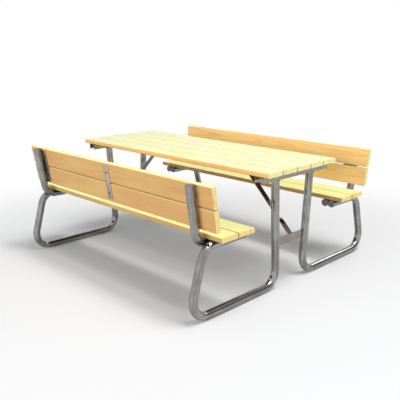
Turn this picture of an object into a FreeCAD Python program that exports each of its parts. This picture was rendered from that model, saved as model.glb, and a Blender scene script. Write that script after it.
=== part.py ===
import FreeCAD, Part
import math
import os

# Picnic table with a bench on each long side. Millimetres, +Z up, ground at Z = 0.
# X runs along the boards, Y across them from the near bench to the far bench.
# The set is alike on both sides of X = 0 and of Y = 0, so a piece is made once,
# on the right (+X) and far (+Y) side, and mirrored.

# Boards
plank_length = 1745.0
plank_thickness = 29.0
plank_edge_radius = 4.0
plank_end_radius = 1.5

# Table top
table_height = 740.0
table_plank_count = 5
table_plank_width = 125.0
table_plank_gap = 8.0

# Seats: the reach is from the middle plane of the table to the front edge of the seat
seat_height = 463.0
seat_reach = 436.5
seat_plank_count = 2
seat_plank_width = 124.0
seat_plank_gap = 8.0

# Backs: the reach and the height are of the lower front corner, the lean is in degrees
back_reach = 704.0
back_height = 498.5
back_lean = 9.0
back_board_count = 2
back_board_width = 120.5
back_board_gap = 8.0

# Round steel tube
tube_diameter = 48.3
tube_wall = 2.6
weld_clearance = 0.3

# Foot tubes: each reach is of a corner of the tube's axis before it is rounded
end_inset = 77.0
foot_bend_radius = 100.0
outer_leg_top_reach = 745.5
outer_leg_foot_reach = 855.5
table_leg_foot_reach = 133.0
table_leg_top_reach = 172.0
table_leg_top_gap = 5.0

# Back tubes
back_bend_radius = 80.0

# Plugs in the open tube ends
plug_head_thickness = 3.0
plug_head_round = 1.2
plug_depth = 14.0
plug_clearance = 0.3

# Channels under the ends of the table
channel_wall = 4.0
channel_height = 40.0
channel_clearance = 0.15
channel_inset = 6.0
channel_bend_radius = 5.0

# Flat bars across the middle of the boards
bar_thickness = 5.0
bar_width = 40.0
bar_corner_radius = 3.0
back_bar_inset = 18.0
seat_bar_inset = 24.0
table_bar_inset = 20.0

# Plates between the back tubes and the boards, measured from the tube's axis
back_plate_thickness = 5.0
back_plate_reach = 63.0
back_plate_return = 12.0
back_plate_inset = 15.0

# Cross plates between the table legs: the height is of the plate's middle line
cross_plate_width = 50.0
cross_plate_thickness = 5.0
cross_plate_height = 283.5

# Braces: the angle is in degrees from the level
brace_angle = 45.0
brace_thickness = 5.0
brace_width = 40.0
brace_foot_length = 70.0
brace_tail_length = 35.0
brace_bend_radius = 12.0
brace_screw_shares = (0.4, 0.8)

# Screws with a domed head and a hexagon socket
screw_diameter = 6.0
screw_head_diameter = 12.0
screw_head_height = 3.6
screw_head_rim = 1.0
screw_socket_sides = 6
screw_socket_radius = 2.4
screw_socket_depth = 2.0
screw_bite = 22.0
screw_hole_clearance = 0.1
cut_overrun = 2.0

# Sizes and places that follow from the ones above
half_length = plank_length / 2
table_under = table_height - plank_thickness
seat_under = seat_height - plank_thickness
tube_radius = tube_diameter / 2
leg_plane = half_length - end_inset
back_tube_plane = leg_plane - tube_diameter - weld_clearance
seat_tube_level = seat_under - weld_clearance - tube_radius
seat_tube_mouth = seat_reach + plug_head_thickness
table_width = table_plank_count * (table_plank_width + table_plank_gap) - table_plank_gap
seat_depth = seat_plank_count * (seat_plank_width + seat_plank_gap) - seat_plank_gap
back_length = back_board_count * (back_board_width + back_board_gap) - back_board_gap
cross_plate_low = cross_plate_height - cross_plate_width / 2
cross_plate_high = cross_plate_height + cross_plate_width / 2

# Directions of the leaning back in the plane across the table, as (Y, Z)
lean = math.radians(back_lean)
back_up = (math.sin(lean), math.cos(lean))
back_out = (math.cos(lean), -math.sin(lean))


def vector(x, y, z):
    return FreeCAD.Vector(x, y, z)


origin = vector(0, 0, 0)
along_x = vector(1, 0, 0)
along_y = vector(0, 1, 0)
upward = vector(0, 0, 1)
parallel_angle = math.radians(1)
into_back = vector(0, -back_out[0], -back_out[1])


def row_places(count, width, gap):
    """Middles of boards laid side by side, measured from the start of the row."""
    return [width / 2 + index * (width + gap) for index in range(count)]


table_places = [place - table_width / 2
                for place in row_places(table_plank_count, table_plank_width, table_plank_gap)]
seat_places = [seat_reach + place
               for place in row_places(seat_plank_count, seat_plank_width, seat_plank_gap)]
back_places = row_places(back_board_count, back_board_width, back_board_gap)


def back_point(along, outward):
    """Point (Y, Z) some way up the front face of the back and out behind that face."""
    y = back_reach + along * back_up[0] + outward * back_out[0]
    z = back_height + along * back_up[1] + outward * back_out[1]
    return (y, z)


def leg_reach(level):
    """Distance of a table leg's axis from the middle plane at a height."""
    rise_share = (level - tube_radius) / (table_under - tube_radius)
    return table_leg_foot_reach + rise_share * (table_leg_top_reach - table_leg_foot_reach)


# Basic shapes
def rounded_box(low, size, radius, direction):
    """Box with its four edges along one direction rounded."""
    box = Part.makeBox(*size, low)
    lengthwise = [edge for edge in box.Edges
                  if edge.tangentAt(edge.FirstParameter).isParallel(direction, parallel_angle)]
    return box.makeFillet(radius, lengthwise)


def plank(width):
    """One board lying flat, its middle at X = Y = 0 and its underside at Z = 0."""
    low = vector(-half_length, -width / 2, 0)
    size = (plank_length, width, plank_thickness)
    board = rounded_box(low, size, plank_edge_radius, along_x)
    end_edges = [edge for edge in board.Edges
                 if edge.BoundBox.XLength < plank_end_radius]
    return board.makeFillet(plank_end_radius, end_edges)


def flat_bar(low_x, high_x, length, thickness):
    """Flat bar lying flat across the boards, its underside at Z = 0."""
    low = vector(low_x, -length / 2, 0)
    size = (high_x - low_x, length, thickness)
    return rounded_box(low, size, bar_corner_radius, upward)


def stood_on_back(shape, along, outward):
    """A flat-lying shape turned to stand on the back, its underside facing out behind."""
    turned = shape.copy()
    turned.rotate(origin, along_x, math.degrees(math.pi / 2 - lean))
    y, z = back_point(along, outward)
    turned.translate(vector(0, y, z))
    return turned


def rounded_path(points, radius):
    """Wire through points, with each inner corner rounded by an arc."""
    edges = []
    start = points[0]
    for before, corner, after in zip(points, points[1:], points[2:]):
        arriving = (corner - before).normalize()
        leaving = (after - corner).normalize()
        turn = arriving.getAngle(leaving)
        tangent = radius * math.tan(turn / 2)
        arc_start = corner - arriving * tangent
        arc_end = corner + leaving * tangent
        inward = (leaving - arriving).normalize()
        arc_middle = corner + inward * (radius / math.cos(turn / 2) - radius)
        edges.append(Part.LineSegment(start, arc_start).toShape())
        edges.append(Part.Arc(arc_start, arc_middle, arc_end).toShape())
        start = arc_end
    edges.append(Part.LineSegment(start, points[-1]).toShape())
    return Part.Wire(edges)


def swept(path, section):
    """Solid made by carrying a closed section along a path."""
    return path.makePipeShell([section], True, False)


def bent_tube(points, radius):
    """Hollow round tube whose axis runs through points, its corners bent to a radius."""
    path = rounded_path(points, radius)
    direction = (points[1] - points[0]).normalize()
    outside = Part.Wire([Part.Circle(points[0], direction, tube_radius).toShape()])
    bore = Part.Wire([Part.Circle(points[0], direction, tube_radius - tube_wall).toShape()])
    return swept(path, outside).cut(swept(path, bore))


def bent_strip(points, radius, thickness, width):
    """Flat strip whose middle line runs through points in an X-Z plane, its width along Y."""
    path = rounded_path(points, radius)
    direction = (points[1] - points[0]).normalize()
    side = direction.cross(along_y) * (thickness / 2)
    reach = along_y * (width / 2)
    start = points[0]
    corners = [start - side - reach, start + side - reach, start + side + reach, start - side + reach]
    section = Part.makePolygon(corners + corners[:1])
    return swept(path, section)


# Screws
def upright_screw(grip):
    """Screw standing on the origin: head above Z = 0, shank below it."""
    half_head = screw_head_diameter / 2
    dome_rise = screw_head_height - screw_head_rim
    dome_radius = (half_head ** 2 + dome_rise ** 2) / (2 * dome_rise)
    dome = Part.makeSphere(dome_radius, upward * (screw_head_height - dome_radius))
    head = Part.makeCylinder(half_head, screw_head_height).common(dome)
    corners = []
    for index in range(screw_socket_sides):
        angle = 2 * math.pi * index / screw_socket_sides
        corners.append(vector(screw_socket_radius * math.cos(angle),
                              screw_socket_radius * math.sin(angle),
                              screw_head_height - screw_socket_depth))
    outline = Part.makePolygon(corners + corners[:1])
    socket = Part.Face(outline).extrude(upward * (screw_socket_depth + cut_overrun))
    shank = Part.makeCylinder(screw_diameter / 2, grip, origin, upward * -1)
    return head.cut(socket).fuse(shank).removeSplitter()


def screw(place, inward, grip):
    """Screw whose head rests on a face at a place and whose shank runs inward."""
    result = upright_screw(grip)
    result.Placement = FreeCAD.Placement(place, FreeCAD.Rotation(upward, inward * -1))
    return result


def screws(places):
    """Group of like screws, each a solid of its own."""
    return Part.makeCompound([screw(*place) for place in places])


def drilled(shape, places):
    """Shape with a hole for each screw that passes through it."""
    radius = screw_diameter / 2 + screw_hole_clearance
    holes = []
    for place, inward, grip in places:
        start = place - inward * cut_overrun
        hole = Part.makeCylinder(radius, grip + 2 * cut_overrun, start, inward)
        if hole.BoundBox.intersect(shape.BoundBox):
            holes.append(hole)
    return shape.cut(holes) if holes else shape


def mirrored_places(places, sides_x, sides_y):
    """Screw places repeated on the wanted sides of the middle planes."""
    result = []
    for side_x in sides_x:
        for side_y in sides_y:
            for place, inward, grip in places:
                spot = vector(side_x * place.x, side_y * place.y, place.z)
                way = vector(side_x * inward.x, side_y * inward.y, inward.z)
                result.append((spot, way, grip))
    return result


both = (1, -1)
one = (1,)


def brace_top_x():
    """X at which the brace's middle line would meet the line of its level foot."""
    knee_x = leg_plane - cross_plate_thickness / 2 - brace_thickness / 2
    rise = table_under - brace_thickness / 2 - cross_plate_high
    return knee_x - rise / math.tan(math.radians(brace_angle))


def channel_screw_places():
    level = table_under - channel_wall
    grip = channel_wall + screw_bite
    return mirrored_places([(vector(leg_plane, y, level), upward, grip) for y in table_places],
                           both, one)


def table_bar_screw_places():
    level = table_under - bar_thickness
    grip = bar_thickness + screw_bite
    return [(vector(0, y, level), upward, grip) for y in table_places]


def brace_screw_places():
    level = table_under - brace_thickness
    grip = brace_thickness + screw_bite
    places = [(vector(brace_top_x() - share * brace_foot_length, 0, level), upward, grip)
              for share in brace_screw_shares]
    return mirrored_places(places, both, one)


def seat_tube_screw_places():
    level = seat_tube_level - tube_radius
    grip = tube_diameter + weld_clearance + screw_bite
    return mirrored_places([(vector(back_tube_plane, y, level), upward, grip) for y in seat_places],
                           both, both)


def seat_bar_screw_places():
    level = seat_under - bar_thickness
    grip = bar_thickness + screw_bite
    return mirrored_places([(vector(0, y, level), upward, grip) for y in seat_places], one, both)


def back_screw_places(x, thickness, sides_x):
    """Screws through steel of some thickness into the middle of each back board."""
    places = []
    for along in back_places:
        y, z = back_point(along, plank_thickness + thickness)
        places.append((vector(x, y, z), into_back, thickness + screw_bite))
    return mirrored_places(places, sides_x, both)


def back_bar_screw_places():
    return back_screw_places(0, bar_thickness, one)


def back_plate_screw_places():
    beside_tube = (back_plate_reach + tube_radius) / 2
    return back_screw_places(back_tube_plane - beside_tube, back_plate_thickness, both)


# Boards
def table_planks():
    """Planks of the table top, from the near side to the far side."""
    places = channel_screw_places() + table_bar_screw_places() + brace_screw_places()
    result = []
    for y in table_places:
        board = plank(table_plank_width)
        board.translate(vector(0, y, table_under))
        result.append(drilled(board, places))
    return result


def seat_planks():
    """Planks of the far seat, from its front edge to its rear edge."""
    places = seat_tube_screw_places() + seat_bar_screw_places()
    result = []
    for y in seat_places:
        board = plank(seat_plank_width)
        board.translate(vector(0, y, seat_under))
        result.append(drilled(board, places))
    return result


def back_boards():
    """Boards of the far back, from the lower one to the upper one."""
    places = back_plate_screw_places() + back_bar_screw_places()
    result = []
    for along in back_places:
        board = stood_on_back(plank(back_board_width), along, plank_thickness)
        result.append(drilled(board, places))
    return result


# Tubes
def foot_tube():
    """Far right foot tube: seat bearer, outer leg, ground runner and table leg in one."""
    over_top = table_under + tube_diameter
    corners = [
        (seat_tube_mouth, seat_tube_level),
        (outer_leg_top_reach, seat_tube_level),
        (outer_leg_foot_reach, tube_radius),
        (table_leg_foot_reach, tube_radius),
        (leg_reach(over_top), over_top),
    ]
    tube = bent_tube([vector(leg_plane, y, z) for y, z in corners], foot_bend_radius)
    level = table_under - channel_wall - table_leg_top_gap
    corner = vector(leg_plane - tube_diameter, table_leg_top_reach - tube_diameter, level)
    above = Part.makeBox(2 * tube_diameter, 2 * tube_diameter, 2 * tube_diameter, corner)
    return tube.cut(above)


def back_tube_corners():
    """Corners of the far right back tube's axis: mouth, bend and top."""
    outward = plank_thickness + back_plate_thickness + weld_clearance + tube_radius
    y, z = back_point(0, outward)
    bend_y = y - (z - seat_tube_level) * math.tan(lean)
    top_y, top_z = back_point(back_length - plug_head_thickness, outward)
    return [
        vector(back_tube_plane, seat_tube_mouth, seat_tube_level),
        vector(back_tube_plane, bend_y, seat_tube_level),
        vector(back_tube_plane, top_y, top_z),
    ]


def back_tube():
    """Far right back tube: seat bearer and upright in one."""
    return drilled(bent_tube(back_tube_corners(), back_bend_radius), seat_tube_screw_places())


def plug(place, outward):
    """Plug whose stem sits in the mouth of a tube and whose rounded head closes it."""
    head = Part.makeCylinder(tube_radius, plug_head_thickness, place, outward)
    middle = place + outward * (plug_head_thickness / 2)
    rim = [edge for edge in head.Edges
           if edge.Closed and (edge.CenterOfMass - middle).dot(outward) > 0]
    head = head.makeFillet(plug_head_round, rim)
    stem_radius = tube_radius - tube_wall - plug_clearance
    stem = Part.makeCylinder(stem_radius, plug_depth, place, outward * -1)
    return head.fuse(stem).removeSplitter()


def seat_tube_plugs():
    """Plugs in the front mouths of the two tubes at the right end of the far seat."""
    places = [vector(plane, seat_tube_mouth, seat_tube_level)
              for plane in (back_tube_plane, leg_plane)]
    return Part.makeCompound([plug(place, along_y * -1) for place in places])


def back_tube_plug():
    """Plug in the top of the far right back tube."""
    return plug(back_tube_corners()[-1], vector(0, *back_up))


# Steel sheet and flat bar
def table_channel():
    """Right channel: a web under the planks and two walls that hold the leg tops."""
    half_width = tube_radius + channel_clearance + channel_wall / 2
    web = table_under - channel_wall / 2
    foot = table_under - channel_height
    corners = [(-half_width, foot), (-half_width, web), (half_width, web), (half_width, foot)]
    points = [vector(leg_plane + x, 0, z) for x, z in corners]
    length = table_width - 2 * channel_inset
    strip = bent_strip(points, channel_bend_radius, channel_wall, length)
    return drilled(strip, channel_screw_places())


def cross_plate():
    """Right cross plate, its ends slanted like the two table legs that it joins."""
    low_y = leg_reach(cross_plate_low) - tube_radius - weld_clearance
    high_y = leg_reach(cross_plate_high) - tube_radius - weld_clearance
    corners = [(-low_y, cross_plate_low), (low_y, cross_plate_low),
               (high_y, cross_plate_high), (-high_y, cross_plate_high)]
    face_x = leg_plane - cross_plate_thickness / 2
    outline = Part.makePolygon([vector(face_x, y, z) for y, z in corners + corners[:1]])
    return Part.Face(outline).extrude(along_x * cross_plate_thickness)


def brace():
    """Right brace: tail on the cross plate, slanting bar, level foot under the table."""
    knee_x = leg_plane - cross_plate_thickness / 2 - brace_thickness / 2
    foot_z = table_under - brace_thickness / 2
    points = [
        vector(knee_x, 0, cross_plate_high - brace_tail_length),
        vector(knee_x, 0, cross_plate_high),
        vector(brace_top_x(), 0, foot_z),
        vector(brace_top_x() - brace_foot_length, 0, foot_z),
    ]
    strip = bent_strip(points, brace_bend_radius, brace_thickness, brace_width)
    return drilled(strip, brace_screw_places())


def table_bar():
    """Flat bar under the middle of the table planks."""
    bar = flat_bar(-bar_width / 2, bar_width / 2, table_width - 2 * table_bar_inset, bar_thickness)
    bar.translate(vector(0, 0, table_under - bar_thickness))
    return drilled(bar, table_bar_screw_places())


def seat_bar():
    """Flat bar under the middle of the far seat."""
    bar = flat_bar(-bar_width / 2, bar_width / 2, seat_depth - 2 * seat_bar_inset, bar_thickness)
    bar.translate(vector(0, seat_reach + seat_depth / 2, seat_under - bar_thickness))
    return drilled(bar, seat_bar_screw_places())


def back_bar():
    """Flat bar up the middle of the far back."""
    bar = flat_bar(-bar_width / 2, bar_width / 2, back_length - 2 * back_bar_inset, bar_thickness)
    stood = stood_on_back(bar, back_length / 2, plank_thickness + bar_thickness)
    return drilled(stood, back_bar_screw_places())


def back_plate():
    """Flat plate between the far right back tube and the boards, on its inner side."""
    bar = flat_bar(back_tube_plane - back_plate_reach, back_tube_plane + back_plate_return,
                   back_length - 2 * back_plate_inset, back_plate_thickness)
    stood = stood_on_back(bar, back_length / 2, plank_thickness + back_plate_thickness)
    return drilled(stood, back_plate_screw_places())


# All pieces
def mirrored(shape, side_x, side_y):
    """Copy of a far right piece for the asked sides of the middle planes."""
    result = shape.copy()
    if side_x < 0:
        result = result.mirror(origin, along_x)
    if side_y < 0:
        result = result.mirror(origin, along_y)
    return result


end_names = {-1: "left", 1: "right"}
bench_names = {-1: "near", 1: "far"}


def bench_boards():
    """Seat planks and back boards of both benches, by name."""
    pieces = {}
    for side, bench in bench_names.items():
        for number, board in enumerate(seat_planks(), 1):
            pieces[f"seat_plank_{bench}_{number}"] = mirrored(board, 1, side)
        for number, board in enumerate(back_boards(), 1):
            pieces[f"back_board_{bench}_{number}"] = mirrored(board, 1, side)
    return pieces


def corner_pieces():
    """The tubes and back plates of the four corners, by name."""
    makers = {"foot_tube": foot_tube(), "back_tube": back_tube(), "back_plate": back_plate()}
    pieces = {}
    for side_y, bench in bench_names.items():
        for side_x, end in end_names.items():
            for name, shape in makers.items():
                pieces[f"{name}_{bench}_{end}"] = mirrored(shape, side_x, side_y)
    return pieces


def end_pieces():
    """The pieces that each end of the table has once, by name."""
    makers = {"table_channel": table_channel(), "cross_plate": cross_plate(), "brace": brace()}
    pieces = {}
    for side, end in end_names.items():
        for name, shape in makers.items():
            pieces[f"{name}_{end}"] = mirrored(shape, side, 1)
    return pieces


def middle_bars():
    """The flat bars across the middle of the table, the seats and the backs, by name."""
    pieces = {"table_bar": table_bar()}
    for side, bench in bench_names.items():
        pieces[f"seat_bar_{bench}"] = mirrored(seat_bar(), 1, side)
        pieces[f"back_bar_{bench}"] = mirrored(back_bar(), 1, side)
    return pieces


def small_pieces():
    """Groups of like plugs and screws, by name."""
    corners = [(side_x, side_y) for side_x in end_names for side_y in bench_names]
    front_plugs = []
    for side_x, side_y in corners:
        front_plugs.extend(mirrored(seat_tube_plugs(), side_x, side_y).Solids)
    top_plugs = [mirrored(back_tube_plug(), side_x, side_y) for side_x, side_y in corners]
    return {
        "seat_tube_plugs": Part.makeCompound(front_plugs),
        "back_tube_plugs": Part.makeCompound(top_plugs),
        "channel_screws": screws(channel_screw_places()),
        "table_bar_screws": screws(table_bar_screw_places()),
        "brace_screws": screws(brace_screw_places()),
        "seat_tube_screws": screws(seat_tube_screw_places()),
        "seat_bar_screws": screws(seat_bar_screw_places()),
        "back_bar_screws": screws(back_bar_screw_places()),
        "back_plate_screws": screws(back_plate_screw_places()),
    }


def all_pieces():
    pieces = {f"table_plank_{number}": board for number, board in enumerate(table_planks(), 1)}
    pieces.update(bench_boards())
    pieces.update(corner_pieces())
    pieces.update(end_pieces())
    pieces.update(middle_bars())
    pieces.update(small_pieces())
    return pieces


os.makedirs("parts", exist_ok=True)
for node, shape in all_pieces().items():
    shape.exportStep(f"parts/{node}.step")
    print(node, len(shape.Solids), round(shape.Volume), shape.isValid())
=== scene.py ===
# %% [markdown]
# # A picnic table with two benches
#
# Pale softwood planks are carried by bright bent steel tube. The measured frame of the
# table comes first. Each cell then models a piece as a maker would, gives it its finish,
# and prints what came out. Everything is in metres: X runs along the planks, Y from the
# near bench to the far bench, Z up from the ground.

# %% The measured frame
import math
import random

import bmesh
import bpy
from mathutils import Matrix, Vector


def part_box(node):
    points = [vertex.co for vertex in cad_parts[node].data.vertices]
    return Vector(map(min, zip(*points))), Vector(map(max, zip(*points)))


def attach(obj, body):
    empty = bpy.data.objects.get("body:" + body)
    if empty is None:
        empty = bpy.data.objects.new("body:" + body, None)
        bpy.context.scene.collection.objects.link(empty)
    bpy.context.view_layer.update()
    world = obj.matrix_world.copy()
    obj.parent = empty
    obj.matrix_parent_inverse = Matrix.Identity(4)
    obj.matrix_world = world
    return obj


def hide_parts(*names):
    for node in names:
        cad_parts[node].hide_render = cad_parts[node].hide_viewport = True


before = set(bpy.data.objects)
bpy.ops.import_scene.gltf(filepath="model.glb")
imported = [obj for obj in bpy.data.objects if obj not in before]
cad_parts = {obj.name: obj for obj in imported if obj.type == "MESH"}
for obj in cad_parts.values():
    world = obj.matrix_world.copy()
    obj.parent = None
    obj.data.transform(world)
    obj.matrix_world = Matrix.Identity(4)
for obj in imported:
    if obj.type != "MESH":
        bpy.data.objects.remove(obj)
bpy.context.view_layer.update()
print("pieces in the frame:", len(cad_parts))

# %% [markdown]
# ## The camera
#
# The camera stands in front of the right end, a little above the table, and looks down
# on it. Its place could be found by eye, by moving it until the picture fits. Here the
# place and the lens were worked out from the corners of the planks, so they are fixed
# numbers, and the two turns say how far it looks down and which way it faces.

# %% Camera
camera_place = (2.6716, -2.6428, 1.3736)
camera_down = 14.985
camera_heading = 45.108
camera_lens = 49.935

bpy.ops.object.camera_add(location=camera_place)
camera = bpy.context.object
camera.name = "camera"
camera.rotation_euler = (math.radians(90 - camera_down), 0, math.radians(camera_heading))
camera.data.lens = camera_lens
camera.data.sensor_width = 36
camera.data.clip_start = 0.05
camera.data.clip_end = 200
bpy.context.scene.camera = camera
print("camera looks down", camera_down, "degrees")

# %% [markdown]
# ## Hands for the modelling
#
# Every operator acts on all that is selected, so each job starts by deselecting
# everything and taking one piece. Inside a piece, edges and faces are picked in code, by
# where they lie or how they point, and then worked on as by hand.


# %% Taking a piece and picking parts of it
def let_go():
    """Leave edit mode and deselect every object."""
    if bpy.context.mode != "OBJECT":
        bpy.ops.object.mode_set(mode="OBJECT")
    bpy.ops.object.select_all(action="DESELECT")


def take(piece):
    """Make one piece the only one that is selected."""
    let_go()
    piece.select_set(True)
    bpy.context.view_layer.objects.active = piece


def pick(piece, kind, wanted):
    """Open a piece in edit mode with only the wanted parts of one kind selected."""
    take(piece)
    bpy.ops.object.mode_set(mode="EDIT")
    bpy.ops.mesh.select_mode(type=kind)
    bpy.ops.mesh.select_all(action="DESELECT")
    bpy.ops.object.mode_set(mode="OBJECT")
    mesh = piece.data
    parts = {"VERT": mesh.vertices, "EDGE": mesh.edges, "FACE": mesh.polygons}[kind]
    for part in parts:
        part.select = bool(wanted(part))
    bpy.ops.object.mode_set(mode="EDIT")


nearly_along = 0.9


def edge_way(piece, edge):
    """Direction of an edge. It runs along an axis if that part is over nearly_along."""
    first, second = (piece.data.vertices[index].co for index in edge.vertices)
    return (second - first).normalized()


def named(piece, name):
    piece.name = name
    piece.data.name = name
    return piece


def settle(piece):
    """Put the object at the origin, unturned and unscaled, with its place in its mesh."""
    take(piece)
    bpy.ops.object.transform_apply(location=True, rotation=True, scale=True)
    return piece


# %% [markdown]
# A bevelled piece has narrow rounded edges beside wide flat faces. Smooth shading alone
# would bend the light across the flat faces too. Weighted normals let the wide faces
# keep their own direction, and only the narrow ones turn. A mirrored or spun mesh can
# end up inside out, so its volume is measured, and its faces are flipped if it is below
# zero.


# %% Finishing a mesh
def work(piece, kind, **settings):
    """Add a modifier to a piece and apply it."""
    take(piece)
    modifier = piece.modifiers.new(kind.lower(), kind)
    for setting, value in settings.items():
        setattr(modifier, setting, value)
    bpy.ops.object.modifier_apply(modifier=modifier.name)


def smooth(piece, angle=40):
    take(piece)
    bpy.ops.object.shade_smooth_by_angle(angle=math.radians(angle))
    work(piece, "WEIGHTED_NORMAL", keep_sharp=True, weight=60)
    return piece


def volume(piece):
    shape = bmesh.new()
    shape.from_mesh(piece.data)
    result = shape.calc_volume(signed=True)
    shape.free()
    return result


def face_out(piece):
    """Turn the faces round if the piece is inside out."""
    if volume(piece) < 0:
        pick(piece, "FACE", lambda face: True)
        bpy.ops.mesh.flip_normals()
        let_go()
    return piece


def copied(piece, name, turn=(0, 0, 0), place=(0, 0, 0), sides=(1, 1)):
    """Copy with a mesh of its own: turned, then placed, then mirrored to a side."""
    take(piece)
    bpy.ops.object.duplicate()
    copy = named(bpy.context.object, name)
    copy.rotation_euler = turn
    copy.location = place
    settle(copy)
    if sides != (1, 1):
        copy.scale = (sides[0], sides[1], 1)
        settle(copy)
        face_out(copy)
    return copy


# %% [markdown]
# ## Writing finishes
#
# A finish is a tree of nodes. It could be built node by node, but the arithmetic then
# fills pages. Here a reading stands for the value that a socket gives, and can be added
# and multiplied like a number, which adds the Math node behind the scenes. Every other
# node comes from one method that takes its kind, its settings and what its sockets get.


# %% Readings
class Reading:
    """The value of a node's output, ready for arithmetic."""

    def __init__(self, finish, socket):
        self.finish = finish
        self.socket = socket

    def math(self, operation, *values):
        inputs = dict(enumerate(values))
        made = self.finish.node("ShaderNodeMath", {"operation": operation}, inputs)
        return made["Value"]

    def __add__(self, other):
        return self.math("ADD", self, other)

    def __sub__(self, other):
        return self.math("SUBTRACT", self, other)

    def __rsub__(self, other):
        return self.math("SUBTRACT", other, self)

    def __mul__(self, other):
        return self.math("MULTIPLY", self, other)

    def __truediv__(self, other):
        return self.math("DIVIDE", self, other)

    def __pow__(self, other):
        return self.math("POWER", self, other)

    def __abs__(self):
        return self.math("ABSOLUTE", self)

    def beyond_whole(self):
        return self.math("FRACT", self)

    def whole(self):
        return self.math("FLOOR", self)

    def ramp(self, low, high):
        """Smooth step from 0 at low to 1 at high."""
        values = {"Value": self, "From Min": low, "From Max": high}
        settings = {"interpolation_type": "SMOOTHSTEP"}
        return self.finish.node("ShaderNodeMapRange", settings, values)["Result"]

    __radd__ = __add__
    __rmul__ = __mul__


class Outputs:
    """The outputs of a node, by name or by number."""

    def __init__(self, finish, node):
        self.finish = finish
        self.node = node

    def __getitem__(self, name):
        return Reading(self.finish, self.node.outputs[name])


# %% [markdown]
# A finish holds the tree itself. It owns the few nodes that every finish here needs: the
# place on the piece, a cloudy noise, a blend of two colours, a bump and the shader. The
# noise takes its three coordinates apart, so that each can be stretched on its own, which
# is what makes grain, brush marks and drawing lines out of the same cloud.


# %% Finishes
class Finish:
    """A tree of nodes for a material or for the sky."""

    def __init__(self, owner):
        owner.use_nodes = True
        self.owner = owner
        self.tree = owner.node_tree
        self.tree.nodes.clear()

    def node(self, kind, settings=None, values=None):
        made = self.tree.nodes.new(kind)
        for name, value in (settings or {}).items():
            setattr(made, name, value)
        for name, value in (values or {}).items():
            if isinstance(value, Reading):
                self.tree.links.new(value.socket, made.inputs[name])
            else:
                made.inputs[name].default_value = value
        return Outputs(self, made)

    def place(self):
        """Position on the piece, in metres, as three readings."""
        spot = self.node("ShaderNodeTexCoord")["Object"]
        return self.split(spot)

    def split(self, vector):
        parts = self.node("ShaderNodeSeparateXYZ", values={"Vector": vector})
        return parts["X"], parts["Y"], parts["Z"]

    def join(self, x, y, z):
        values = {"X": x, "Y": y, "Z": z}
        return self.node("ShaderNodeCombineXYZ", values=values)["Vector"]

    def noise(self, x, y, z, detail=2.0, roughness=0.5):
        """Cloudy value between 0 and 1 whose lumps are about 1 apart."""
        values = {"Vector": self.join(x, y, z), "Scale": 1.0, "Detail": detail,
                  "Roughness": roughness}
        return self.node("ShaderNodeTexNoise", values=values)["Fac"]

    def blend(self, share, first, second):
        """Colour between two colours."""
        values = {0: share, 6: first, 7: second}
        return self.node("ShaderNodeMix", {"data_type": "RGBA"}, values)[2]

    def bump(self, height, distance, strength):
        values = {"Height": height, "Distance": distance, "Strength": strength}
        return self.node("ShaderNodeBump", values=values)["Normal"]

    def seen_rays(self):
        """One for rays that show the surroundings, nought for rays that only light."""
        paths = self.node("ShaderNodeLightPath")
        seen = paths["Is Camera Ray"] + paths["Is Glossy Ray"]
        seen = seen + paths["Is Transmission Ray"]
        return seen.math("MINIMUM", seen, 1.0)

    def surface(self, **values):
        """The shader and the output. Underscores in the names stand for spaces."""
        inputs = {name.replace("_", " "): value for name, value in values.items()}
        shader = self.node("ShaderNodeBsdfPrincipled", values=inputs)["BSDF"]
        self.node("ShaderNodeOutputMaterial", values={"Surface": shader})
        return self.owner


def paint(chip):
    """Colour of a paint chip written as #rrggbb, in the linear values of the shader."""
    channels = [int(chip[start:start + 2], 16) / 255 for start in (1, 3, 5)]
    linear = [value / 12.92 if value <= 0.04045 else ((value + 0.055) / 1.055) ** 2.4
              for value in channels]
    return (*linear, 1.0)


def coat(piece, finish):
    """Give a piece one finish all over."""
    piece.data.materials.clear()
    piece.data.materials.append(finish)


# %% [markdown]
# ## The wood
#
# The planks are planed softwood under a thin clear oil. Grain could be drawn as streaks
# on each face, but then the end of a plank wouldn't match its sides. Here the whole tree
# is described: each plank remembers where the heart of its trunk ran, and a point's
# distance from the heart says in which year's ring it lies. The trunk widens along the
# plank, so the rings show long pointed arches on a wide face, straight lines on an edge
# and arcs on the end, as in real timber. The tops are paler yellow than the sides, partly
# from sun bleaching and partly as a painted highlight of the light from above.

# %% Growth rings
ring_width = 0.0062
ring_ripple = 0.0035
trunk_taper = 0.014
heart_wander = 0.030
late_start = 0.35
late_end = 0.93


def grown_rings(wood, seed, heart_y, heart_z):
    """How far each point lies in the dark late part of its year's ring, from 0 to 1."""
    x, y, z = wood.place()
    lean_y = (wood.noise(x * 0.9, seed, 0.0) - 0.5) * heart_wander
    lean_z = (wood.noise(x * 0.9, seed, 7.0) - 0.5) * heart_wander
    across = y - heart_y + lean_y
    depth = z - heart_z + lean_z
    ripple = (wood.noise(x * 7 + seed, y * 45, z * 45, 3.0) - 0.5) * ring_ripple
    radius = (across * across + depth * depth) ** 0.5 + ripple + x * trunk_taper
    year = radius / ring_width
    ring = year.beyond_whole()
    late = ring.ramp(late_start, late_end) * (1 - ring.ramp(late_end, 1.0))
    good_year = wood.noise(year.whole() * 0.73 + seed, 0.5, 0.5)
    return late * (good_year * 0.9 + 0.35)


print("a ring is", ring_width * 1000, "mm wide")
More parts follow.
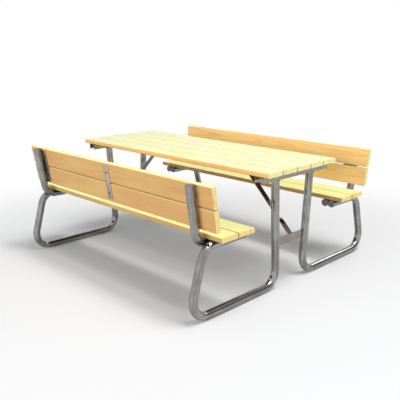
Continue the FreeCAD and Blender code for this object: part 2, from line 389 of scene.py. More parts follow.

# %% [markdown]
# The colour depends on where a face points too, and much of that is painted light.
# The tops are pale yellow, partly from sun bleaching and partly as a painted highlight
# of the light from above. The seat tops are less pale than the table's: a more lemon
# yellow, which offsets the orange light that the back boards throw on them. The sides
# are honey coloured, with painted light and shade: lighter where they tilt up to the
# light, darker where they tilt away, and a painted grey-brown shade on the seat sides
# under the back boards. The undersides get a dark grey painted shade. The sawn ends are
# pale, those of the table most, partly from bleaching and partly as painted light, with
# dark pores and the brown strokes of drying checks. One flat tint for each would be
# simpler, but planed softwood is never even, so pink streaks, golden clouds and fine
# fibres lie over all, their colours too painted lighter on the tops and upturned faces.


# %% Wood tones
def board_tone(wood, late, face, cloudy):
    """Colour of the long faces of a plank, with painted light and shade."""
    # Each colour has a darker copy for faces that tilt away from the light, a lighter one
    # for faces that tilt up to it, and a pale one for the tops: painted light and shade,
    # the tops' partly sun bleaching.
    side = wood.blend(face["sunny"], paint("#D2A66B"), paint("#FFD689"))
    early_tone = wood.blend(face["top"], side, paint("#F7FAC4"))
    side = wood.blend(face["sunny"], paint("#C08D53"), paint("#F8B66C"))
    late_tone = wood.blend(face["top"], side, paint("#EADE99"))
    tone = wood.blend(late * 0.8, early_tone, late_tone)
    # Painted shade: the seat sides under the back boards turn grey-brown.
    tone = wood.blend(face["low"] * (1 - face["top"]) * 0.45, tone, paint("#A48E5E"))
    tone = wood.blend(cloudy["band"].ramp(0.55, 0.75) * 0.3, tone, paint("#BF8A54"))
    # Pale streaks on the tops, partly sun bleaching and partly painted light from above.
    bleached_and_lit = wood.blend(cloudy["band"].ramp(0.35, 0.65),
                          paint("#F8F9A4"), paint("#FBF8E6"))
    tone = wood.blend(face["top"] * 0.62, tone, bleached_and_lit)
    side = wood.blend(face["sunny"], paint("#CC9B62"), paint("#FCBE78"))
    pink = wood.blend(face["top"], side, paint("#F9EBBF"))
    tone = wood.blend(cloudy["streak"].ramp(0.5, 0.78) * 0.45, tone, pink)
    side = wood.blend(face["sunny"], paint("#DCB774"), paint("#FFDA8A"))
    gold = wood.blend(face["top"], side, paint("#F8FDB0"))
    tone = wood.blend(cloudy["cloud"].ramp(0.42, 0.72) * 0.5, tone, gold)
    # The seat tops turn a more lemon yellow, which offsets the orange light that the back
    # boards throw on them.
    return wood.blend(face["top"] * (1 - face["bleach"]) * 0.65, tone, paint("#FFFD9E"))


def end_tone(wood, late, face, pore, check):
    """Colour of the sawn ends."""
    tone = wood.blend(late * 0.75, paint("#FFEF98"), paint("#FFD07E"))
    # The table's ends turn paler, partly bleaching and partly painted light.
    bleached_and_lit = wood.blend(late * 0.6, paint("#FFFBB5"), paint("#FFDF9C"))
    tone = wood.blend(face["bleach"], tone, bleached_and_lit)
    tone = wood.blend(check.ramp(0.54, 0.68) * 0.55, tone, paint("#E6A86C"))
    return wood.blend(pore.ramp(0.45, 0.7) * 0.2, tone, paint("#D09A56"))


# %% [markdown]
# The finish puts these together. It reads two values that each plank keeps on its mesh:
# where the heart of its trunk ran, and how bleached and lit it is painted. The oil is a
# weak, soft coat, and the relief is that of a planer: fibres and late wood stand up a
# little.


# %% Wood finish
def planed_wood():
    wood = Finish(bpy.data.materials.new("planed_wood"))
    x, y, z = wood.place()
    heart = wood.node("ShaderNodeAttribute", {"attribute_name": "heart"})["Vector"]
    seed, heart_y, heart_z = wood.split(heart)
    bleach_and_light = wood.node("ShaderNodeAttribute", {"attribute_name": "bleach_and_light"})["Fac"]
    facing_x, _, facing_z = wood.split(wood.node("ShaderNodeNewGeometry")["Normal"])
    on_end = abs(facing_x).ramp(0.5, 0.9)
    on_under = facing_z.ramp(-0.45, -0.95)
    on_back_or_table = z.ramp(0.465, 0.49)
    # These masks paint light and shade: the top mask pales the tops, partly bleaching and
    # partly light from above; the next lightens faces that tilt up and darkens those that
    # tilt down; the low mask paints shade on the seat sides under the back boards; the
    # last pales the table more than the seats, partly bleaching and partly light.
    face = {"top": facing_z.ramp(0.25, 0.7) * bleach_and_light.ramp(0.0, 0.4),
            "sunny": facing_z.ramp(-0.13, 0.1) * on_back_or_table,
            "low": 1 - on_back_or_table,
            "bleach": bleach_and_light.ramp(0.5, 1.0)}
    cloudy = {"streak": wood.noise(x * 1.6 + seed, y * 70, z * 70, 3.0, 0.6),
              "cloud": wood.noise(x * 2.1 + seed, y * 9, z * 9, 2.0),
              "band": wood.noise(x * 2.6 + seed, y * 38, z * 38, 3.0, 0.6)}
    fibre = wood.noise(x * 9 + seed, y * 900, z * 900, 2.0, 0.6)
    pore = wood.noise(x * 40, y * 1400, z * 1400, 1.0)
    check = wood.noise(x * 2 + seed, y * 120, z * 18, 2.0)
    late = grown_rings(wood, seed, heart_y, heart_z)

    tone = board_tone(wood, late, face, cloudy)
    tone = wood.blend(on_end, tone, end_tone(wood, late, face, pore, check))
    # Painted shade: the undersides turn dark grey-brown.
    tone = wood.blend(on_under * 0.9, tone, paint("#57514A"))
    tone = wood.blend(fibre.ramp(0.5, 0.72) * 0.16, tone, paint("#C98F55"))
    rough = 0.50 + late * -0.06 + fibre * 0.14 + on_end * 0.18
    relief = late * 0.35 + fibre * 0.5 + on_end * pore * 0.5
    return wood.surface(Base_Color=tone, Roughness=rough,
                        Normal=wood.bump(relief, 0.0004, 0.35),
                        Specular_IOR_Level=0.35, Coat_Weight=0.06, Coat_Roughness=0.35)


wood_finish = planed_wood()
print("wood finish:", len(wood_finish.node_tree.nodes), "nodes")

# %% [markdown]
# ## The planks
#
# There are thirteen planks in three widths. Each width is modelled once: a cube takes
# the plank's size, its long edges are eased with a rounded bevel, as a planer's cutter
# leaves them, and its ends get the small bevel of a sanding block. The copies are laid
# in their places, and every one gets its own heart line, so no two planks share a grain.

# %% Plank sizes
plank_length = 1.745
plank_thickness = 0.029
plank_edge_round = 0.004
plank_end_round = 0.0015
table_plank_width = 0.125
seat_plank_width = 0.124
back_board_width = 0.1205
back_board_gap = 0.008
table_plank_count = 5


def shaped_plank(width):
    """A plank lying flat on the origin."""
    let_go()
    bpy.ops.mesh.primitive_cube_add(size=1, scale=(plank_length, width, plank_thickness))
    plank = settle(bpy.context.object)
    pick(plank, "EDGE", lambda edge: abs(edge_way(plank, edge).x) > nearly_along)
    bpy.ops.mesh.bevel(offset=plank_edge_round, segments=5, affect="EDGES")
    let_go()
    end_x = plank_length / 2 - plank_end_round / 2
    corners = plank.data.vertices
    pick(plank, "EDGE",
         lambda edge: all(abs(corners[i].co.x) > end_x for i in edge.vertices))
    bpy.ops.mesh.bevel(offset=plank_end_round, segments=3, affect="EDGES")
    let_go()
    return smooth(plank)


# %% [markdown]
# The heart line is kept on the mesh as an attribute that the finish reads. It lies some
# centimetres behind or in front of the plank's face, where a sawyer would have cut it.
# A second attribute says how bleached and lit the plank is painted, partly for sun
# bleaching and partly as painted light: 1 for the table, a half for the seats and the
# upper back boards, and 0 for the lower back boards, whose upward edge hides in a gap and
# so keeps the darker side colour as painted shade.


# %% Laying the planks
# How bleached and lit the seats and upper back boards are painted: partly bleaching,
# partly painted light.
half_bleach_and_light = 0.5
trees = random.Random(11)
heart_depths = (0.035, 0.085)
heart_sideways = 0.045
seed_range = 90


def grow(plank, middle, facing, bleach_and_light):
    """Keep on a plank's mesh its heart line and its painted bleach and light."""
    along_face = Vector((-facing.y, facing.x))
    side = trees.choice((-1, 1))
    heart = middle + facing * side * trees.uniform(*heart_depths)
    heart = heart + along_face * trees.uniform(-heart_sideways, heart_sideways)
    values = [trees.uniform(0, seed_range), heart.x, heart.y] * len(plank.data.vertices)
    attribute = plank.data.attributes.new("heart", "FLOAT_VECTOR", "POINT")
    attribute.data.foreach_set("vector", values)
    attribute = plank.data.attributes.new("bleach_and_light", "FLOAT", "POINT")
    attribute.data.foreach_set("value", [bleach_and_light] * len(plank.data.vertices))


def laid(model, node, middle, lean=0.0, bleach_and_light=1.0):
    """Copy a plank to the place of a node; middle is its (Y, Z)."""
    name = node.replace("plank", "timber").replace("board", "timber")
    plank = copied(model, name, turn=(lean, 0, 0), place=(0, middle.x, middle.y))
    grow(plank, middle, Vector((-math.sin(lean), math.cos(lean))), bleach_and_light)
    coat(plank, wood_finish)
    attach(plank, "root")
    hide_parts(node)


def node_middle(node):
    low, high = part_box(node)
    middle = (low + high) / 2
    return Vector((middle.y, middle.z))


table_model = shaped_plank(table_plank_width)
for number in range(1, table_plank_count + 1):
    node = f"table_plank_{number}"
    laid(table_model, node, node_middle(node))

seat_model = shaped_plank(seat_plank_width)
back_model = shaped_plank(back_board_width)
back_lean = math.radians(9)
for bench, side in (("near", -1), ("far", 1)):
    for number in (1, 2):
        node = f"seat_plank_{bench}_{number}"
        laid(seat_model, node, node_middle(node), bleach_and_light=half_bleach_and_light)
        node = f"back_board_{bench}_{number}"
        # The lower back boards get nought, so their edge in the gap keeps a painted
        # shade.
        laid(back_model, node, node_middle(node), side * (math.pi / 2 - back_lean),
             bleach_and_light=half_bleach_and_light * (number - 1))

for model in (table_model, seat_model, back_model):
    bpy.data.objects.remove(model)

# %% [markdown]
# ## The steel
#
# Two finishes of steel show. The round tube is drawn and polished, so it mirrors its
# surroundings in long bands, with faint clouds where it was wiped and fine scratches.
# The flat bar is rolled and brushed: paler and duller on the boards, darker and smoother
# on the braces, cross plates and channels. All could be one plain metal shader; the
# clouds, streaks and scratches are what makes them read as metal from close by.


# %% Steel finishes
def polished_tube():
    steel = Finish(bpy.data.materials.new("polished_tube"))
    x, y, z = steel.place()
    run = steel.node("ShaderNodeAttribute", {"attribute_name": "run"})["Vector"]
    round_x, round_y, along = steel.split(run)
    line = steel.noise(round_x * 4, round_y * 4, along * 2.5, 4.0, 0.65)
    fine_line = steel.noise(round_x * 60, round_y * 60, along * 14, 2.0, 0.6)
    cloud = steel.noise(x * 14, y * 14, z * 14, 4.0, 0.6)
    speck = steel.noise(x * 420, y * 420, z * 420, 1.0)
    tone = steel.blend(cloud.ramp(0.3, 0.7), paint("#A8A7A5"), paint("#8D8C8B"))
    tone = steel.blend(line.ramp(0.45, 0.62) * 0.7, tone, paint("#676665"))
    tone = steel.blend(fine_line.ramp(0.55, 0.75) * 0.35, tone, paint("#B6B5B2"))
    tone = steel.blend(speck.ramp(0.66, 0.76) * 0.4, tone, paint("#6F6E6C"))
    rough = 0.02 + cloud * 0.04 + line.ramp(0.4, 0.7) * 0.06
    relief = fine_line * 0.5 + line * 0.8
    return steel.surface(Base_Color=tone, Metallic=1.0, Roughness=rough,
                         Normal=steel.bump(relief, 0.0004, 0.2))


def brushed_bar(name, light, dark, dullness):
    steel = Finish(bpy.data.materials.new(name))
    x, y, z = steel.place()
    cloud = steel.noise(x * 11, y * 11, z * 11, 4.0, 0.6)
    brush = steel.noise(x * 700, y * 25, z * 25, 3.0, 0.6)
    spot = steel.noise(x * 160, y * 160, z * 160, 2.0)
    tone = steel.blend(cloud.ramp(0.3, 0.7), paint(light), paint(dark))
    tone = steel.blend(spot.ramp(0.62, 0.74) * 0.45, tone, paint("#858380"))
    rough = (cloud * 0.5 + brush * 0.3 + 0.8) * dullness
    return steel.surface(Base_Color=tone, Metallic=1.0, Roughness=rough,
                         Normal=steel.bump(brush * 0.6 + spot * 0.4, 0.0003, 0.2))


tube_finish = polished_tube()
bar_finish = brushed_bar("pale_bar", "#CEC4B5", "#BAB2A4", 0.29)
frame_finish = brushed_bar("dark_bar", "#9B948A", "#898378", 0.07)
print("steel finishes:", tube_finish.name, bar_finish.name, frame_finish.name)

# %% [markdown]
# ## The bent tubes
#
# A tube could be a curve with a round section, but a bender works otherwise: it pushes
# the straight tube forward and swings it round a die. The same is done here. A ring of
# points is extruded along each straight run and spun round the middle of each bend, and
# the thin shell gets its wall inward at the end.

# %% Bending a tube
tube_radius = 0.02415
tube_wall = 0.0026
ring_points = 56
degrees_per_step = 4.5
merge_distance = 1e-5


def towards(place, aim, axis):
    """The turn that points an axis of a thing at one place towards another."""
    return (Vector(aim) - Vector(place)).to_track_quat(axis, "Y").to_euler()


def push(step):
    """Extrude what is selected along a straight run."""
    bpy.ops.mesh.extrude_region_move(TRANSFORM_OT_translate={"value": tuple(step)})


def carried(points, radius):
    """Extrude and spin what is selected along points, each corner bent to a radius."""
    here = points[0]
    for corner, after in zip(points[1:], points[2:]):
        arriving = (corner - here).normalized()
        leaving = (after - corner).normalized()
        turn = arriving.angle(leaving)
        reach = radius * math.tan(turn / 2)
        bend_start = corner - arriving * reach
        push(bend_start - here)
        axis = arriving.cross(leaving).normalized()
        middle = bend_start + axis.cross(arriving) * radius
        steps = max(3, round(math.degrees(turn) / degrees_per_step))
        bpy.ops.mesh.spin(steps=steps, angle=-turn, center=middle, axis=axis)
        here = corner + leaving * reach
    push(points[-1] - here)


def close_seams():
    """Merge the points that the bends doubled, and turn all faces the same way."""
    bpy.ops.mesh.select_all(action="SELECT")
    bpy.ops.mesh.remove_doubles(threshold=merge_distance)
    bpy.ops.mesh.normals_make_consistent(inside=False)
    let_go()


def tube_shell(points, radius):
    """Open shell of a bent tube, without its wall."""
    heading = towards(points[0], points[1], "Z")
    let_go()
    bpy.ops.mesh.primitive_circle_add(vertices=ring_points, radius=tube_radius,
                                      location=points[0], rotation=heading)
    shell = settle(bpy.context.object)
    pick(shell, "VERT", lambda vertex: True)
    carried(points, radius)
    close_seams()
    return shell


# %% [markdown]
# The drawing lines of the steel follow the tube round its bends. So each vertex of the
# finished tube keeps which way round the tube it lies and how far along, as an attribute
# that the finish reads. A pattern on plain coordinates would cut straight through the
# bends. Every finished piece then gets its finish, stands in for its node and rides on
# the one body there is, because nothing on the set moves.


# %% The wall and the run
def nearest_run(point, points):
    """Distance along a line of points, and foot of a point on it."""
    best = None
    gone = 0.0
    for first, second in zip(points, points[1:]):
        step = second - first
        share = min(1.0, max(0.0, (point - first).dot(step) / step.length_squared))
        foot = first + step * share
        apart = (point - foot).length
        if best is None or apart < best[0]:
            best = (apart, gone + step.length * share, foot)
        gone += step.length
    return best[1], best[2]


def note_run(tube, points):
    """Keep on the mesh where each vertex lies round the tube and along it."""
    values = []
    for vertex in tube.data.vertices:
        along, foot = nearest_run(vertex.co, points)
        around = (vertex.co - foot).normalized()
        values += [around.x, around.y + around.z, along]
    attribute = tube.data.attributes.new("run", "FLOAT_VECTOR", "POINT")
    attribute.data.foreach_set("vector", values)


def walled(shell, points, name):
    work(shell, "SOLIDIFY", thickness=tube_wall, offset=-1)
    note_run(shell, points)
    return smooth(named(face_out(shell), name), 50)


def finished(piece, finish, node):
    """Give a piece its finish and let it stand for a node of the frame."""
    coat(piece, finish)
    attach(piece, "root")
    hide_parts(node)


# %% [markdown]
# The foot tube is one length: it runs under the seat, down the outside, along the
# ground, and up to the table as a table leg. Its top end is cut level, so the shell is
# bisected there. One is bent, and the other three are its mirror images.

# %% Foot tubes
table_under = 0.711
leg_plane = 0.7955
seat_tube_level = 0.40955
seat_tube_mouth = 0.4395
outer_leg_top = 0.7455
outer_leg_foot = 0.8555
table_leg_foot = 0.133
table_leg_top = 0.172
foot_bend = 0.100
leg_cut_level = 0.702


def leg_reach(level):
    """Distance of a table leg's axis from the middle plane at a height."""
    share = (level - tube_radius) / (table_under - tube_radius)
    return table_leg_foot + share * (table_leg_top - table_leg_foot)


over_top = table_under + 2 * tube_radius
foot_corners = [
    (seat_tube_mouth, seat_tube_level),
    (outer_leg_top, seat_tube_level),
    (outer_leg_foot, tube_radius),
    (table_leg_foot, tube_radius),
    (leg_reach(over_top), over_top),
]
foot_path = [Vector((leg_plane, y, z)) for y, z in foot_corners]
foot_shell = tube_shell(foot_path, foot_bend)
pick(foot_shell, "FACE", lambda face: True)
bpy.ops.mesh.bisect(plane_co=(leg_plane, table_leg_top, leg_cut_level),
                    plane_no=(0, 0, 1), clear_outer=True)
let_go()
foot_model = walled(foot_shell, foot_path, "foot_model")

corners_of_set = [(end, x_side, bench, y_side)
                  for end, x_side in (("left", -1), ("right", 1))
                  for bench, y_side in (("near", -1), ("far", 1))]
for end, x_side, bench, y_side in corners_of_set:
    tube = copied(foot_model, f"leg_{bench}_{end}", sides=(x_side, y_side))
    finished(tube, tube_finish, f"foot_tube_{bench}_{end}")
bpy.data.objects.remove(foot_model)
print("foot tube faces:", len(tube.data.polygons))

# %% [markdown]
# The back tube runs under the seat beside the foot tube and bends up behind the back
# boards. Its place follows from the leaning face of the boards: the boards' thickness,
# then a plate, then half the tube.

# %% Back tubes
back_reach = 0.704
back_height = 0.4985
back_length = 2 * back_board_width + back_board_gap
plate_thickness = 0.005
tube_play = 0.0003
back_tube_plane = leg_plane - 2 * tube_radius - tube_play
plug_head = 0.003
back_bend = 0.080


def back_point(along, outward):
    """Point (Y, Z) some way up the front face of the far back and out behind it."""
    y = back_reach + along * math.sin(back_lean) + outward * math.cos(back_lean)
    z = back_height + along * math.cos(back_lean) - outward * math.sin(back_lean)
    return Vector((y, z))


tube_outward = plank_thickness + plate_thickness + tube_play + tube_radius
low = back_point(0, tube_outward)
top = back_point(back_length - plug_head, tube_outward)
bend_y = low.x - (low.y - seat_tube_level) * math.tan(back_lean)
back_corners = [
    Vector((back_tube_plane, seat_tube_mouth, seat_tube_level)),
    Vector((back_tube_plane, bend_y, seat_tube_level)),
    Vector((back_tube_plane, top.x, top.y)),
]
back_shell = tube_shell(back_corners, back_bend)
back_model_tube = walled(back_shell, back_corners, "back_tube_model")
for end, x_side, bench, y_side in corners_of_set:
    tube = copied(back_model_tube, f"upright_{bench}_{end}", sides=(x_side, y_side))
    finished(tube, tube_finish, f"back_tube_{bench}_{end}")
bpy.data.objects.remove(back_model_tube)
print("back tube faces:", len(tube.data.polygons))

# %% [markdown]
# ## Flat steel
#
# The bars and plates are sheared from flat bar. A cube takes the bar's size, its four
# upright corners are rounded, and a small bevel breaks the sheared edges, which catch
# the light as a thin line.

# %% Level bars
bar_corner = 0.003
edge_break = 0.0006
sheared_angle = 50


def break_edges(piece):
    """Take the sharpness off the sheared edges."""
    work(piece, "BEVEL", width=edge_break, segments=2, limit_method="ANGLE",
         angle_limit=math.radians(sheared_angle))


def shaped_bar(size):
    """A flat bar lying on the origin."""
    let_go()
    bpy.ops.mesh.primitive_cube_add(size=1, scale=size)
    bar = settle(bpy.context.object)
    pick(bar, "EDGE", lambda edge: abs(edge_way(bar, edge).z) > nearly_along)
    bpy.ops.mesh.bevel(offset=bar_corner, segments=4, affect="EDGES")
    let_go()
    break_edges(bar)
    return smooth(bar)


def fitted_bar(node, name):
    """A level bar in the place and at the size of a node."""
    low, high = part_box(node)
    bar = shaped_bar(high - low)
    placed = copied(bar, name, place=(low + high) / 2)
    bpy.data.objects.remove(bar)
    finished(placed, bar_finish, node)


fitted_bar("table_bar", "table_crossbar")
for bench in ("near", "far"):
    fitted_bar(f"seat_bar_{bench}", f"seat_crossbar_{bench}")

print("level bars: 3, corners of", bar_corner * 1000, "mm")

# %% [markdown]
# The bar in the middle of each back and the plates at its ends lean with the boards. They
# are shaped lying flat, turned up to the lean and placed by a point on the boards' rear
# face, and then mirrored to the other sides.

# %% Leaning bars and plates
bar_width = 0.040
back_bar_inset = 0.018
back_bar_length = back_length - 2 * back_bar_inset
back_bar_model = shaped_bar((bar_width, back_bar_length, plate_thickness))
steel_middle = back_point(back_length / 2, plank_thickness + plate_thickness / 2)
upright_turn = (math.pi / 2 - back_lean, 0, 0)
for bench, y_side in (("near", -1), ("far", 1)):
    bar = copied(back_bar_model, f"back_crossbar_{bench}", upright_turn,
                 (0, steel_middle.x, steel_middle.y), (1, y_side))
    finished(bar, bar_finish, f"back_bar_{bench}")
bpy.data.objects.remove(back_bar_model)

plate_reach = 0.063
plate_return = 0.012
plate_inset = 0.015
plate_model = shaped_bar((plate_reach + plate_return, back_length - 2 * plate_inset,
                          plate_thickness))
plate_x = back_tube_plane + (plate_return - plate_reach) / 2
for end, x_side, bench, y_side in corners_of_set:
    plate = copied(plate_model, f"back_pad_{bench}_{end}", upright_turn,
                   (plate_x, steel_middle.x, steel_middle.y), (x_side, y_side))
    finished(plate, bar_finish, f"back_plate_{bench}_{end}")
bpy.data.objects.remove(plate_model)
print("leaning bars and plates done")

# %% [markdown]
# The cross plate stands on edge between the two table legs, so its ends slant like the
# legs. It starts as a cube, and the upper corners are moved out to meet the legs.

# %% Cross plates
cross_thickness = 0.005
cross_low = 0.2585
cross_high = 0.3085


def cross_reach(level):
    return leg_reach(level) - tube_radius - tube_play


let_go()
bpy.ops.mesh.primitive_cube_add(
    size=1, location=(leg_plane, 0, (cross_low + cross_high) / 2),
    scale=(cross_thickness, 2 * cross_reach(cross_low), cross_high - cross_low))
cross_model = settle(bpy.context.object)
spread = cross_reach(cross_high) / cross_reach(cross_low)
pick(cross_model, "VERT", lambda vertex: vertex.co.z > cross_high - edge_break)
bpy.ops.transform.resize(value=(1, spread, 1), center_override=(leg_plane, 0, cross_high))
let_go()
break_edges(cross_model)
smooth(cross_model)
for end, x_side in (("left", -1), ("right", 1)):
    plate = copied(cross_model, f"leg_tie_{end}", sides=(x_side, 1))
    finished(plate, frame_finish, f"cross_plate_{end}")
bpy.data.objects.remove(cross_model)
print("leg ties done, spread", round(spread, 3))

# %% [markdown]
# The brace is a strip that lies flat on the cross plate, slants up at 45 degrees and
# ends in a level foot under the table. It is carried along its path like the tubes, but
# from a rectangle in place of a ring.

# %% Braces
brace_width = 0.040
brace_thickness = 0.005
brace_bend = 0.012
brace_foot = 0.070
brace_tail = 0.035
brace_slope = math.radians(45)
knee_x = leg_plane - cross_thickness / 2 - brace_thickness / 2
foot_level = table_under - brace_thickness / 2
brace_top = knee_x - (foot_level - cross_high) / math.tan(brace_slope)
brace_path = [
    Vector((knee_x, 0, cross_high - brace_tail)),
    Vector((knee_x, 0, cross_high)),
    Vector((brace_top, 0, foot_level)),
    Vector((brace_top - brace_foot, 0, foot_level)),
]
let_go()
bpy.ops.mesh.primitive_plane_add(size=1, location=brace_path[0])
brace_model = bpy.context.object
brace_model.scale = (brace_thickness, brace_width, 1)
settle(brace_model)
pick(brace_model, "FACE", lambda face: True)
carried(brace_path, brace_bend)
close_seams()
face_out(brace_model)
break_edges(brace_model)
smooth(brace_model)
for end, x_side in (("left", -1), ("right", 1)):
    strut = copied(brace_model, f"strut_{end}", sides=(x_side, 1))
    finished(strut, frame_finish, f"brace_{end}")
bpy.data.objects.remove(brace_model)
print("struts done, volume", round(volume(strut) * 1e6, 1), "cubic centimetres")

# %% [markdown]
# The channel under each end of the table is folded from sheet. A cube loses its bottom
# and its two ends, the two folds are rounded, and the sheet gets its thickness inward.

# %% Channels
sheet_thickness = 0.004
fold_radius = 0.007
for end in ("left", "right"):
    low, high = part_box(f"table_channel_{end}")
    let_go()
    bpy.ops.mesh.primitive_cube_add(size=1, location=(low + high) / 2, scale=high - low)
    channel = settle(bpy.context.object)
    pick(channel, "FACE", lambda face: face.normal.z < -0.5 or abs(face.normal.y) > 0.5)
    bpy.ops.mesh.delete(type="FACE")
    let_go()
    top_level = high.z - edge_break
    spots = channel.data.vertices
    pick(channel, "EDGE", lambda edge: abs(edge_way(channel, edge).y) > nearly_along
         and all(spots[i].co.z > top_level for i in edge.vertices))
    bpy.ops.mesh.bevel(offset=fold_radius, segments=6, affect="EDGES")
    let_go()
    work(channel, "SOLIDIFY", thickness=sheet_thickness, offset=-1, use_even_offset=True)
    face_out(channel)
    break_edges(channel)
    smooth(named(channel, f"end_rail_{end}"))
    finished(channel, frame_finish, f"table_channel_{end}")
print("end rails done")

# %% [markdown]
# ## Welds
#
# Short welds join the tubes, plates and rails. A welder adds the metal drop by drop, and
# each drop leaves a ripple. The beads could be painted on, but a real one stands proud
# and catches the light. A rod is grown ring by ring here, every second ring a little
# narrower, in two lengths: a stitch and a tack. Copies of them lie in the valleys
# between the pieces.

# %% Weld rods
weld_radius = 0.003
weld_sides = 10
weld_end = 0.6
weld_waist = 0.82
ripple_step = 0.0013


def weld_rod(length):
    """A rippled bead along Z, centred on the origin."""
    ripples = round(length / ripple_step / 2)
    widths = [weld_end] + [1.0, weld_waist] * ripples + [1.0, weld_end]
    let_go()
    bpy.ops.mesh.primitive_circle_add(vertices=weld_sides, radius=weld_radius * weld_end,
                                      fill_type="NGON", location=(0, 0, -length / 2))
    rod = settle(bpy.context.object)
    pick(rod, "FACE", lambda face: True)
    for before, after in zip(widths, widths[1:]):
        push((0, 0, length / (len(widths) - 1)))
        bpy.ops.transform.resize(value=(after / before, after / before, 1),
                                 center_override=(0, 0, 0))
    bpy.ops.mesh.select_all(action="SELECT")
    bpy.ops.mesh.normals_make_consistent(inside=False)
    let_go()
    return smooth(face_out(rod), 60)


stitch_length = 0.045
tack_length = 0.020
stitch = weld_rod(stitch_length)
tack = weld_rod(tack_length)
print("stitch volume", round(volume(stitch) * 1e9), "cubic millimetres")

# %% [markdown]
# Weld metal is never as bright as drawn tube. The heat leaves it brown and grey in
# patches, with a fine scale on it, so its finish is rougher and darker than the tube's.


# %% Weld finish
def burnt_weld():
    steel = Finish(bpy.data.materials.new("burnt_weld"))
    x, y, z = steel.place()
    cloud = steel.noise(x * 90, y * 90, z * 90, 3.0)
    scale = steel.noise(x * 900, y * 900, z * 900, 2.0)
    tone = steel.blend(cloud.ramp(0.35, 0.65), paint("#8F8A84"), paint("#6D6760"))
    return steel.surface(Base_Color=tone, Metallic=1.0, Roughness=0.24 + scale * 0.25,
                         Normal=steel.bump(scale, 0.0002, 0.3))


weld_finish = burnt_weld()
print("weld finish:", weld_finish.name)

# %% [markdown]
# The beads of one corner are laid first. Two stitches run along the valley above and
# below the pair of tubes under the seat, two up each side of the upright behind the
# back boards, and one on each face of the cross plate. Tacks hold the table leg in the
# channel and the tail of the brace.

# %% Laying the beads
along_y = math.pi / 2
pair_middle = (leg_plane + back_tube_plane) / 2
valley = 0.0072
seat_weld_places = (0.485, 0.615)
beads = []
for y in seat_weld_places:
    for side in (-1, 1):
        beads.append((stitch, along_y, (pair_middle, y, seat_tube_level + side * valley)))

behind_plate = plank_thickness + plate_thickness + weld_radius / 2
upright_valley = 0.0115
upright_weld_places = (0.050, back_length - 0.055)
for along in upright_weld_places:
    y, z = back_point(along, behind_plate)
    for side in (-1, 1):
        x = back_tube_plane + side * upright_valley
        beads.append((stitch, -back_lean, (x, y, z)))

tack_sink = 0.7
leg_slant = math.atan2(table_leg_top - table_leg_foot, table_under - tube_radius)
cross_middle = (cross_low + cross_high) / 2
rail_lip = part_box("table_channel_right")[0].z
for side in (-1, 1):
    x = leg_plane + side * (cross_thickness + weld_radius) / 2
    beads.append((stitch, -leg_slant, (x, cross_reach(cross_middle), cross_middle)))
    x = leg_plane + side * (tube_radius + weld_radius * tack_sink)
    beads.append((tack, along_y, (x, leg_reach(rail_lip), rail_lip - weld_radius / 2)))
tail_x = leg_plane - (cross_thickness + weld_radius) / 2
beads.append((tack, 0, (tail_x, brace_width / 2, cross_high - brace_tail / 2)))

print("beads at each corner:", len(beads))

# %% [markdown]
# The beads of a corner become one piece, which is mirrored to the other three corners.

# %% Joining the beads
laid_beads = [copied(rod, "bead", turn=(turn, 0, 0), place=place)
              for rod, turn, place in beads]
let_go()
for bead in laid_beads:
    bead.select_set(True)
bpy.context.view_layer.objects.active = laid_beads[0]
bpy.ops.object.join()
corner_model = bpy.context.object
for end, x_side, bench, y_side in corners_of_set:
    welds = copied(corner_model, f"welds_{bench}_{end}", sides=(x_side, y_side))
    coat(welds, weld_finish)
    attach(welds, "root")
for model in (corner_model, stitch, tack):
    bpy.data.objects.remove(model)
print("weld faces at a corner:", len(welds.data.polygons))

# %% [markdown]
# ## Plugs and screws
#
# The small parts keep the shapes of the frame: rounded plug heads and domed screw heads
# with a hexagon socket. The plugs are moulded plastic with a fine matt skin, and the
# screws have a dark plating.


# %% Small parts
def moulded_plug():
    plastic = Finish(bpy.data.materials.new("moulded_plug"))
    x, y, z = plastic.place()
    skin = plastic.noise(x * 1500, y * 1500, z * 1500, 2.0)
    dust = plastic.noise(x * 60, y * 60, z * 60, 3.0)
    tone = plastic.blend(dust.ramp(0.45, 0.75) * 0.5, paint("#6A6B6D"), paint("#85868A"))
    return plastic.surface(Base_Color=tone, Roughness=0.45 + skin * 0.2,
                           Normal=plastic.bump(skin, 0.0001, 0.3))


def dark_plating():
    steel = Finish(bpy.data.materials.new("dark_plating"))
    x, y, z = steel.place()
    cloud = steel.noise(x * 300, y * 300, z * 300, 3.0)
    tone = steel.blend(cloud.ramp(0.35, 0.7), paint("#3A3B3E"), paint("#505155"))
    return steel.surface(Base_Color=tone, Metallic=1.0, Roughness=0.28 + cloud * 0.2)


plug_finish = moulded_plug()
screw_finish = dark_plating()
for name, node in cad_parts.items():
    if name.endswith("plugs") or name.endswith("screws"):
        coat(node, plug_finish if name.endswith("plugs") else screw_finish)
print("small parts finished")

# %% [markdown]
# ## The studio
#
# The set stands on a pale floor. A backdrop that bends up behind the set would do as
# well, but here the floor itself turns to plain white a few metres away, so no edge
# shows. Near the set it is a matt grey-white that keeps the soft shadow. The light that
# it throws back up is held down, because a white floor would wash out the undersides.

# %% Floor
plain_white = (1, 1, 1, 1)
floor_size = 60.0
floor_tone = (0.86, 0.862, 0.868, 1)
lighting_tone = (0.26, 0.26, 0.27, 1)
shadow_middle = (0.5, -0.5)
grey_reach = 1.6
white_reach = 3.4
let_go()
bpy.ops.mesh.primitive_plane_add(size=floor_size)
floor = named(bpy.context.object, "floor")


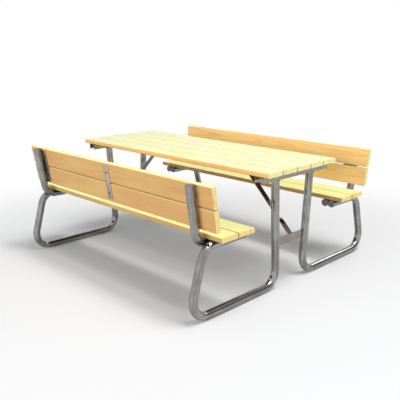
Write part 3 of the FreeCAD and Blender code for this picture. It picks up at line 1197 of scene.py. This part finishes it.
def pale_floor():
    ground = Finish(bpy.data.materials.new("pale_floor"))
    x, y, _ = ground.place()
    middle_x, middle_y = shadow_middle
    apart = ((x - middle_x) ** 2 + (y - middle_y) ** 2) ** 0.5
    away = apart.ramp(grey_reach, white_reach)
    seen = ground.seen_rays()
    colour = ground.blend(seen, lighting_tone, floor_tone)
    matt = ground.node("ShaderNodeBsdfDiffuse", values={"Color": colour})
    white = ground.node("ShaderNodeEmission",
                        values={"Color": plain_white, "Strength": 1.0})
    mixed = ground.node("ShaderNodeMixShader",
                        values={0: seen * away, 1: matt["BSDF"], 2: white["Emission"]})
    ground.node("ShaderNodeOutputMaterial", values={"Surface": mixed["Shader"]})
    return ground.owner


floor.data.materials.append(pale_floor())
print("floor:", floor_size, "metres wide, white from", white_reach, "metres away")

# %% [markdown]
# The room gives an even light that is stronger from low down, as from pale walls. What
# the eye and the metal see of it is plain white, whatever its strength.

# %% Room
ceiling_glow = 0.22
wall_glow = 0.54
ceiling_start = 0.55
wall_top = 0.3
room_tint = (0.96, 0.98, 1, 1)

sky = Finish(bpy.data.worlds.new("bright_room"))
seen = sky.seen_rays()
up = sky.split(sky.node("ShaderNodeTexCoord")["Generated"])[2]
glow = up.ramp(ceiling_start, wall_top) * (wall_glow - ceiling_glow) + ceiling_glow
room = sky.node("ShaderNodeBackground", values={"Color": room_tint, "Strength": glow})
white = sky.node("ShaderNodeBackground", values={"Color": plain_white, "Strength": 1.0})
mixed = sky.node("ShaderNodeMixShader",
                 values={0: seen, 1: room["Background"], 2: white["Background"]})
sky.node("ShaderNodeOutputWorld", values={"Surface": mixed["Shader"]})
bpy.context.scene.world = sky.owner
bpy.context.scene.view_settings.view_transform = "Standard"
print("room:", wall_glow, "low down and", ceiling_glow, "overhead")

# %% [markdown]
# A small key light and a broad soft one hang high, off to the right end. Together they
# give the soft shadow towards the near left, with the bright line between the shadows of
# the table and the bench. One wide light would be simpler, but would blur that line. Low
# fills in front, at the right end and behind keep the upright faces from going dull.
# Mirror images of the fills would show as hard white bars in the tubes, so polished
# things don't see them.


# %% Lamps
set_middle = (0, 0, 0.5)


def softbox(name, place, aim, size, radiance):
    """A rectangular soft light whose brightness doesn't depend on its size."""
    bpy.ops.object.light_add(type="AREA", location=place)
    lamp = bpy.context.object
    lamp.name = name
    lamp.data.shape = "RECTANGLE"
    lamp.data.size, lamp.data.size_y = size
    lamp.data.energy = radiance * math.pi * size[0] * size[1]
    lamp.rotation_euler = towards(place, aim, "-Z")
    return lamp


def fill(name, place, size, radiance):
    """A low light that lifts the upright faces without showing in the metal."""
    softbox(name, place, set_middle, size, radiance).visible_glossy = False


softbox("key", (1.95, 0.8, 9.1), (0, 0, 0), (1.7, 1.7), 25.6)
softbox("overhead", (4.2, 0.32, 8.3), (0, 0, 0), (4.7, 4.2), 5.3)
fill("front_fill", (0.5, -8.0, 1.8), (8.0, 3.4), 6.0)
fill("side_fill", (8.0, -0.4, 0.8), (5.0, 1.5), 7.0)
fill("back_fill", (-3.0, 7.5, 0.9), (6.0, 1.6), 5.0)

# %% [markdown]
# Polished tube shows little of itself and much of the room. A photographer holds sheets
# of card near it to put dark and bright bands in it. The large grey card here gives the
# tubes their dark bands, and the small bright one the white streak on the far runner.
# Nothing but polished things sees the cards, and they throw no shadow.


# %% Cards
def card(name, place, aim, size, strength):
    """A plain sheet that only polished things see."""
    let_go()
    bpy.ops.mesh.primitive_plane_add(size=1)
    sheet = named(bpy.context.object, name)
    sheet.scale = (*size, 1)
    sheet.rotation_euler = towards(place, aim, "Z")
    sheet.location = place
    settle(sheet)
    paper = Finish(bpy.data.materials.new(name))
    glow = paper.node("ShaderNodeEmission",
                      values={"Color": plain_white, "Strength": strength})
    paper.node("ShaderNodeOutputMaterial", values={"Surface": glow["Emission"]})
    sheet.data.materials.append(paper.owner)
    sheet.visible_camera = False
    sheet.visible_diffuse = False
    sheet.visible_transmission = False
    sheet.visible_shadow = False


card("dark_card", (3.4, 4.6, 2.6), (0, 0, 0.4), (9.0, 5.2), 0.36)
card("light_card", (0.95, 1.95, 1.45), (0.8, 0.5, 0.02), (0.8, 1.1), 5.0)
print("cards: 2")
